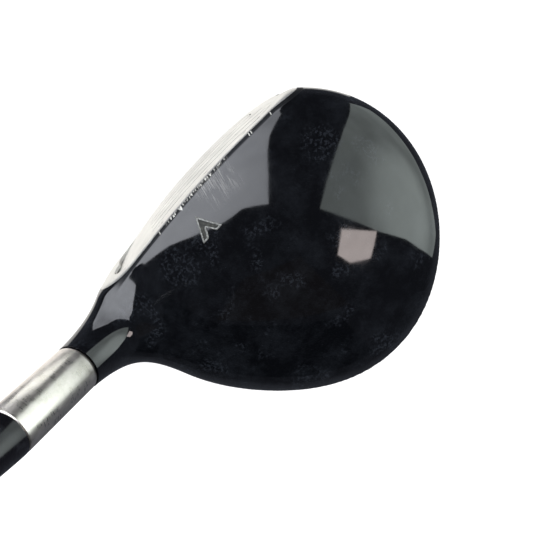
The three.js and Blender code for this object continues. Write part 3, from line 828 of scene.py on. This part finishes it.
def on_face(u, w):
    """A point on the face sphere, from distances along X and up the face."""
    depth = np.sqrt(FACE_RADIUS ** 2 - u * u - w * w)
    direction = np.stack([u, w * face_up[1] + depth * face_normal[1],
                          w * face_up[2] + depth * face_normal[2]], -1)
    return face_centre + direction, direction / FACE_RADIUS


def spread_with(values, low, high, step):
    """Even spacing from low to high that also holds the given values exactly."""
    marks = np.unique(np.concatenate([[low, high], values]))
    lines = [np.linspace(a, b, max(int(np.ceil((b - a) / step)), 1), endpoint=False)
             for a, b in zip(marks[:-1], marks[1:])]
    return np.concatenate(lines + [[high]])


def face_plate():
    middle = (SCORE_LINES - 1) / 2
    centres = (np.arange(SCORE_LINES) - middle) * SCORE_PITCH / math.cos(LOFT)
    lips = np.concatenate([-SCORE_LIPS[::-1], SCORE_LIPS])
    half = SCORE_LENGTH / 2
    u = spread_with([-half, SCORE_RUNOUT - half, half - SCORE_RUNOUT, half], -44.0, 40.0, 1.0)
    w = spread_with((centres[:, None] + lips).ravel(), -20.0, 26.0, 0.9)
    grid_u, grid_w = np.meshgrid(u, w, indexing="ij")
    off_centre = np.abs(grid_w[..., None] - centres).min(-1)
    drop = np.interp(off_centre, SCORE_LIPS, [1.0, 0.75, 0.0])
    ends = np.interp(np.abs(grid_u), [half - SCORE_RUNOUT, half], [1.0, 0.0])
    places, normals = on_face(grid_u, grid_w)
    outer = places - (SCORE_DEPTH * drop * ends)[..., None] * normals
    triangles = grid_triangles(*grid_u.shape)
    tags = np.zeros(len(triangles), int)
    outer, triangles, tags, side = split(
        outer.reshape(-1, 3), triangles, tags, lambda p: face_field(p) + FACE_SEAM / 2, 0.15
    )
    triangles = triangles[side < 0]
    away = outer - face_centre
    everything, faces, _, _ = shell(outer, triangles, away / length(away)[:, None], FACE_SKIN)
    plate = to_object("face_insert", everything, faces, ["satin_steel"], sharp_degrees=25)
    dress(plate, "face_plate")


def sole_weight():
    segments = 96
    angle = full_turn(segments)
    key = KEY_FLATS / np.cos(np.mod(angle, math.pi / 3) - math.pi / 6)
    bottom, top = WEIGHT_INSET, WEIGHT_INSET + WEIGHT_HEIGHT
    r, edge = WEIGHT_RADIUS, 0.5
    rings = [
        (0.4 * key, bottom + 1.9), (key, bottom + 1.5), (key, bottom + 0.25), (key + 0.25, bottom),
        (3.3, bottom), (3.4, bottom + 0.12), (3.6, bottom + 0.12), (3.7, bottom),
        (r - edge, bottom), (r - 0.12, bottom + 0.15), (r, bottom + edge), (r, top - 0.3),
        (r - 0.3, top), (0.4, top),
    ]
    points = np.concatenate([circle(radius, height, angle) for radius, height in rings])
    points += (*weight_centre[:2], 0)
    faces = ring_faces(len(rings), segments, closed=False).tolist()
    faces.append(list(range(segments))[::-1])
    faces.append(list(range((len(rings) - 1) * segments, len(rings) * segments)))
    weight = to_object("rear_weight", points, faces, ["weight_metal"], sharp_degrees=35)
    dress(weight, "sole_weight")


MARK_TIP = np.array([8.6, -15.2])
MARK_WIDTH, MARK_LENGTH, MARK_STROKE, MARK_HEIGHT = 7.2, 6.6, 2.1, 0.3
MARK_REACH, MARK_STEP, MARK_RECESS = 4.6, 0.14, 0.3


def chevron_distance(p):
    """Negative inside an open chevron that points at the target."""
    half = MARK_WIDTH / 2
    corners = MARK_TIP + np.array([
        (0, 0), (half, MARK_LENGTH), (half - MARK_STROKE, MARK_LENGTH), (0, 2 * MARK_STROKE),
        (MARK_STROKE - half, MARK_LENGTH), (-half, MARK_LENGTH),
    ])
    q = p[..., :2]
    nearest = np.full(q.shape[:-1], 1e9)
    inside = np.zeros(q.shape[:-1], bool)
    for a, b in zip(corners, np.roll(corners, -1, 0)):
        edge = b - a
        share = np.clip(((q - a) @ edge) / (edge @ edge), 0, 1)
        nearest = np.minimum(nearest, length(q - a - share[..., None] * edge))
        spans = (a[1] > q[..., 1]) != (b[1] > q[..., 1])
        rise = np.where(b[1] == a[1], 1.0, b[1] - a[1])
        inside ^= spans & (q[..., 0] < a[0] + (q[..., 1] - a[1]) * edge[0] / rise)
    return np.where(inside, -nearest, nearest)


def alignment_mark():
    x = np.arange(-MARK_REACH, MARK_REACH + 0.01, MARK_STEP) + MARK_TIP[0]
    y = np.arange(-0.7, MARK_LENGTH + 0.71, MARK_STEP) + MARK_TIP[1]
    grid_x, grid_y = np.meshgrid(x, y, indexing="ij")
    points = np.stack([grid_x, grid_y, np.full_like(grid_x, CROWN_HEIGHT)], -1).reshape(-1, 3)
    for _ in range(12):
        points[:, 2] -= head_distance(points) / normals_of(points)[:, 2]
    triangles = grid_triangles(*grid_x.shape)
    tags = np.zeros(len(triangles), int)
    points, triangles, tags, side = split(points, triangles, tags, chevron_distance, 0.03)
    triangles, tags = triangles[side < 0], tags[side < 0]
    levels, heights = [0.0, 0.16, 0.46, 0.58], [0.08, MARK_HEIGHT, MARK_HEIGHT, 0.12]
    for level in levels[1:]:
        points, triangles, tags, side = split(
            points, triangles, tags, lambda p: chevron_distance(p) + level, 0.02
        )
        tags = np.where((side < 0) & (level > MARK_RECESS), 1, tags)
    normals = normals_of(points)
    rise = np.interp(-chevron_distance(points), levels, heights)
    raised = points + rise[:, None] * normals
    everything, faces, _, indices = shell(raised, triangles, normals, 0.06, tags)
    mark = to_object(
        "aim_chevron", everything, faces, ["printed_grey", "mark_recess"],
        indices, sharp_degrees=20,
    )
    dress(mark, "alignment_mark")


# Shaft pieces -----------------------------------------------------------------------------------

def shaft_radius(along):
    return np.interp(along, [TAPER_START, SHAFT_END], [SHAFT_TIP_RADIUS, SHAFT_BUTT_RADIUS])


def hosel():
    r, top = HOSEL_RADIUS, HOSEL_TOP
    profile = [
        (BORE_RADIUS, PAINT_LINE - 1.6), (5.6, PAINT_LINE - 1.6), (5.65, PAINT_LINE - 0.12),
        (6.25, PAINT_LINE - 0.06), (6.5, PAINT_LINE + 0.12), (r - 0.03, PAINT_LINE + 0.55),
        (r, PAINT_LINE + 0.9), (r, (PAINT_LINE + top) / 2), (r, top - 0.6), (r - 0.08, top - 0.22),
        (r - 0.3, top), (BORE_RADIUS + 0.3, top), (BORE_RADIUS, top - 0.3),
    ]
    lathe("hosel", profile, "hosel_steel", segments=160)


def ferrule():
    bottom, top = HOSEL_TOP + 0.1, HOSEL_TOP + 0.1 + FERRULE_LENGTH
    bore = SHAFT_TIP_RADIUS + 0.1
    outside = [(HOSEL_RADIUS - 0.25, bottom), (HOSEL_RADIUS - 0.04, bottom + 0.25)]
    for share in np.linspace(0.03, 0.97, 14):
        smooth = share * share * (3 - 2 * share)
        radius = HOSEL_RADIUS + (FERRULE_TIP_RADIUS - HOSEL_RADIUS) * (0.5 * share + 0.5 * smooth)
        outside.append((radius, bottom + share * FERRULE_LENGTH))
    outside += [(FERRULE_TIP_RADIUS - 0.05, top - 0.2), (FERRULE_TIP_RADIUS - 0.25, top)]
    profile = [(bore, bottom), *outside, (bore, top)]
    dress(lathe("ferrule_collar", profile, "black_plastic"), "ferrule")


def shaft():
    outside = [(shaft_radius(z), z) for z in np.linspace(TAPER_START, SHAFT_END - 0.3, 12)]
    profile = [
        (TIP_BORE_RADIUS, SHAFT_START), (SHAFT_TIP_RADIUS - 0.2, SHAFT_START),
        (SHAFT_TIP_RADIUS, SHAFT_START + 0.3), *outside, (SHAFT_BUTT_RADIUS - 0.3, SHAFT_END),
        (BUTT_BORE_RADIUS, SHAFT_END), (TIP_BORE_RADIUS, TAPER_START),
    ]
    tube = lathe("graphite_shaft", profile, "graphite", segments=96)
    dress(tube, "shaft_tube")


def shaft_band():
    end = BAND_START + BAND_LENGTH
    inner, outer = 0.05, 0.05 + BAND_THICKNESS
    profile = [
        (shaft_radius(BAND_START) + inner, BAND_START),
        (shaft_radius(BAND_START) + outer - 0.06, BAND_START),
        (shaft_radius(BAND_START) + outer, BAND_START + 0.2),
        (shaft_radius(end) + outer, end - 0.2),
        (shaft_radius(end) + outer - 0.06, end),
        (shaft_radius(end) + inner, end),
    ]
    band = lathe("printed_band", profile, "band_print", segments=96)
    dress(band, "shaft_band")


def vee(value):
    """A sharp valley at each whole number, flat elsewhere."""
    off = np.abs(value - np.round(value))
    return np.clip(1 - off / 0.17, 0, 1)


def grip():
    segments = 176
    top_inner, low_inner = shaft_radius(SHAFT_END) + TAPE_ROOM, shaft_radius(GRIP_START) + TAPE_ROOM
    mouth = low_inner + MOUTH_WALL
    rows = np.linspace(GRIP_START + 0.9, GRIP_END - 5.0, 440)
    share = np.clip((rows - GRIP_START - 3) / (GRIP_END - GRIP_START - 7), 0, 1)
    radius = mouth + (GRIP_BUTT_RADIUS - mouth) * share ** 0.85
    angle = full_turn(segments)
    z, a = np.meshgrid(rows, angle, indexing="ij")
    turn = a / (2 * math.pi)
    lattice = np.maximum(
        vee(LATTICE_STARTS * turn + z / LATTICE_PITCH), vee(LATTICE_STARTS * turn - z / LATTICE_PITCH)
    )
    rings = vee((z - GRIP_START) / RING_PITCH)
    along = (z - GRIP_START) / (GRIP_END - GRIP_START)
    panel = np.clip(np.minimum(along - PANEL[0], PANEL[1] - along) / PANEL_FADE, 0, 1)
    plain = np.exp(-((np.mod(along * PLAIN_RINGS, 1.0) - 0.5) / PLAIN_WIDTH) ** 2)
    ends = sum((along > low) & (along < high) for low, high in (LOW_RINGS, HIGH_RINGS))
    cut = LATTICE_DEPTH * lattice * panel * (1 - plain) + RING_DEPTH * rings * ends
    body = circle(radius[:, None] - cut, z, a)
    butt = [
        (GRIP_BUTT_RADIUS + 0.05, GRIP_END - 4.2), (GRIP_BUTT_RADIUS + 0.4, GRIP_END - 3.0),
        (GRIP_BUTT_RADIUS + 1.0, GRIP_END - 1.7), (CAP_RADIUS - 0.25, GRIP_END - 0.6),
        (CAP_RADIUS - 0.05, GRIP_END - 0.12), (CAP_RADIUS - 0.2, GRIP_END), (top_inner, GRIP_END),
    ]
    lip = [(low_inner, GRIP_START), (mouth - 0.7, GRIP_START), (mouth - 0.25, GRIP_START + 0.2)]
    stack = [circle(*ring, angle) for ring in lip] + [*body] + [circle(*ring, angle) for ring in butt]
    points = along_shaft(np.concatenate(stack))
    faces = ring_faces(len(stack), segments)
    sleeve = to_object("grip_sleeve_moulded", points, faces, ["grip_rubber"], sharp_degrees=50)
    dress(sleeve, "grip_sleeve")


def grip_cap():
    r, end, under = CAP_RADIUS, CLUB_LENGTH, CLUB_LENGTH - 3.0
    spigot = SHAFT_BUTT_RADIUS - 1.3
    profile = [
        (VENT_RADIUS, under - 8.0), (spigot - 0.5, under - 8.0), (spigot, under - 7.5), (spigot, under),
        (r - 0.25, under), (r, under + 0.3), (r, end - 1.3), (r - 0.12, end - 0.8),
        (r - 0.4, end - 0.35), (r - 1.0, end), (r - 3.0, end), (r - 3.15, end - 0.35),
        (r - 3.75, end - 0.35), (r - 3.9, end), (VENT_RADIUS + 1.8, end),
        (VENT_RADIUS + 1.3, end - 0.3), (VENT_RADIUS + 0.3, end - 0.35), (VENT_RADIUS, end - 0.7),
    ]
    dress(lathe("butt_cap", profile, "grip_rubber", segments=128), "grip_cap")


def inner_nodes():
    """The hidden pieces keep their CAD meshes and take their own finishes."""
    finishes = {
        "resin_pad": "amber_resin", "bore_plug": "foam_plug",
        "tip_weight": "weight_metal", "grip_tape": "tape_paper",
    }
    for node, slot in finishes.items():
        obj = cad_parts[node]
        obj.data.materials.clear()
        obj.data.materials.append(FINISHES[slot])


# Studio -----------------------------------------------------------------------------------------

CARD_DISTANCE = 3.0
CARD_STEPS, CARD_LAYERS = 8, 12


def direction(azimuth, elevation):
    a, e = math.radians(azimuth), math.radians(elevation)
    return np.array([math.cos(a) * math.cos(e), math.sin(a) * math.cos(e), math.sin(e)])


def card(
    name, corners, colour, strength, peak=None, at=(0, 0, 0), distance=CARD_DISTANCE, only=None, without=None
):
    """A glowing panel that only shows in reflections, given by the directions of its corners.

    Peak is an optional (azimuth, elevation, strength, spread) for a brighter part. Only is a
    piece that the panel is kept for, and without is one that looks straight through it.
    """
    ring = np.array([direction(*corner) for corner in corners])
    middle = ring.mean(0)
    middle /= np.linalg.norm(middle)
    along_side = np.arange(CARD_STEPS)[:, None] / CARD_STEPS
    outline = np.concatenate([a + (b - a) * along_side for a, b in zip(ring, np.roll(ring, -1, 0))])
    layers = [middle + (outline - middle) * share for share in np.linspace(0.05, 1, CARD_LAYERS)]
    points = np.concatenate(layers)
    points = at + points * distance / length(points)[:, None]
    faces = ring_faces(len(layers), len(outline), closed=False).tolist()
    faces.append(list(range(len(outline))))
    mesh = bpy.data.meshes.new(name)
    mesh.from_pydata(points.tolist(), [], faces)
    glow = Finish(name)
    toward = glow.vector("NORMALIZE", glow.mm)
    amount = glow.span(glow.noise(0.25, toward, detail=2), 0.3, 0.7, 0.88 * strength, 1.12 * strength)
    if peak:
        azimuth, elevation, bright, spread = peak
        near = glow.dot(direction(azimuth, elevation), toward)
        edge = math.cos(math.radians(spread))
        extra = glow.span(near, edge, 1.0, 0.0, bright - strength, smooth=True)
        amount = glow.add(amount, extra)
    surface = glow.node("Emission", colour, amount).outputs[0]
    if only or without:
        clear = glow.node("BsdfTransparent").outputs[0]
        surface = glow.node("AddShader", surface, clear).outputs[0]
    glow.join(glow.tree.nodes["Material Output"].inputs["Surface"], surface)
    mesh.materials.append(glow.material)
    panel = bpy.data.objects.new(name, mesh)
    if only or without:
        receivers = bpy.data.collections.new(name + "_receivers")
        receivers.objects.link(only or without)
        receivers.collection_objects[0].light_linking.link_state = "INCLUDE" if only else "EXCLUDE"
        panel.light_linking.receiver_collection = receivers
    bpy.context.scene.collection.objects.link(panel)
    for ray in ("camera", "diffuse", "shadow", "transmission"):
        setattr(panel, "visible_" + ray, False)


def cards():
    """What the polished parts mirror: two windows, a small bright pane and the paper in front."""
    card(
        "card_right",
        [(124, -12), (126, 16), (128, 29), (129, 47), (134, 61), (143, 72), (164, 66), (178, 55),
         (-173, 38), (-163, -9), (-172, -22), (171, -18), (155, -17), (142, -19), (132, -22)],
        (0.90, 1.0, 0.97), 1.35, peak=(140, 24, 3.0, 34),
    )
    card(
        "card_left",
        [(-134, 32), (-130, 52), (-130, 62), (-135, 76), (-149, 86), (-72, 82), (-58, 81),
         (-47, 79), (-36, 69), (-34, 59), (-28, 43), (-34, 34), (-50, 12), (-62, 0), (-99, -9),
         (-120, 1), (-128, 16)],
        (0.90, 0.93, 1.0), 2.5, peak=(-62, 45, 4.1, 52),
        without=bpy.data.objects["face_insert"],
    )
    card(
        "card_face",
        [(-175, -20), (-175, 60), (-90, 80), (-5, 60), (-5, -20), (-60, -32), (-120, -32)],
        (0.97, 0.98, 1.0), 0.70, peak=(-70, 38, 1.15, 55), only=bpy.data.objects["face_insert"],
    )
    card("card_small", [(129, 48), (115, 49), (108, 57), (109, 63), (127, 64)], (1.0, 0.88, 0.85), 6.0)
    card("card_brown", [(25, 48), (88, 46), (88, 74), (30, 70)], (1.0, 0.85, 0.75), 0.045)
    card("card_shade", [(-8, 2), (80, 2), (80, 44), (25, 46), (-8, 46)], (0.7, 1.0, 1.0), 0.006)
    card(
        "card_front",
        [(-160, -44), (-125, -40), (-90, -38), (-55, -40), (-20, -44), (-20, -84), (-160, -84)],
        (1.0, 0.985, 0.95), 1.25,
    )
    hosel_middle = shaft_foot + shaft_axis * (PAINT_LINE + HOSEL_TOP) / 2
    card(
        "card_hosel",
        [(-100, -2), (-100, -24), (-140, -24), (-140, -2)],
        (0.95, 1.0, 0.96), 1.5, at=hosel_middle * MM, distance=0.05, only=bpy.data.objects["hosel"],
    )


FLOOR_REACH, FLOOR_DROP = 8.0, 0.0004
MIRRORED_TINT = (0.78, 0.84, 1.0)
HORIZON, MIRRORED_GLOW = (-0.15, -0.35), (0.045, 0.11)


def floor():
    paper = Finish(
        "floor_paper", (0.95, 0.95, 0.95), Roughness=1.0, Specular_IOR_Level=0.0,
        Emission_Color=(1, 1, 1), Emission_Strength=0.55,
    )
    mesh = bpy.data.meshes.new("floor")
    corners = [(-1, -1, 0), (1, -1, 0), (1, 1, 0), (-1, 1, 0)]
    mesh.from_pydata((np.array(corners) * FLOOR_REACH).tolist(), [], [(0, 1, 2, 3)])
    mesh.materials.append(paper.material)
    sheet = bpy.data.objects.new("floor", mesh)
    bpy.context.scene.collection.objects.link(sheet)
    sheet.location.z = -FLOOR_DROP
    sheet.visible_glossy = False


def sky():
    """White light from all round, but near darkness where a polished part mirrors it."""
    world = bpy.data.worlds.new("studio")
    bpy.context.scene.world = world
    world.use_nodes = True
    air = Graph(world.node_tree)
    air.tree.nodes.clear()
    height = air.node("SeparateXYZ", air.node("TexCoord").outputs["Generated"]).outputs["Z"]
    dark = air.node("Background", MIRRORED_TINT, air.span(height, *HORIZON, *MIRRORED_GLOW))
    soft = air.node("Background", (1, 1, 1), 1.0)
    glossy = air.node("LightPath").outputs["Is Glossy Ray"]
    choose = air.node("MixShader", glossy, soft.outputs[0], dark.outputs[0])
    air.node("OutputWorld", choose.outputs[0])


CAMERA_PLACE = np.array([-13.971, -0.624, 219.661])
CAMERA_RIGHT = Vector((-0.6978, 0.7159, -0.0216))
CAMERA_UP = Vector((-0.7088, -0.6946, -0.1229))
CAMERA_BACK = Vector((-0.103, -0.0704, 0.9922))


def camera():
    data = bpy.data.cameras.new("camera")
    data.lens, data.sensor_width, data.clip_start = 45, 36, 0.01
    obj = bpy.data.objects.new("camera", data)
    turn = Matrix((CAMERA_RIGHT, CAMERA_UP, CAMERA_BACK)).transposed().to_4x4()
    obj.matrix_world = Matrix.Translation(Vector(CAMERA_PLACE * MM)) @ turn
    bpy.context.scene.collection.objects.link(obj)
    bpy.context.scene.camera = obj


head_pieces()
face_plate()
sole_weight()
alignment_mark()
hosel()
ferrule()
shaft()
shaft_band()
grip()
grip_cap()
inner_nodes()
cards()
floor()
sky()
camera()
bpy.context.scene.view_settings.view_transform = "Standard"
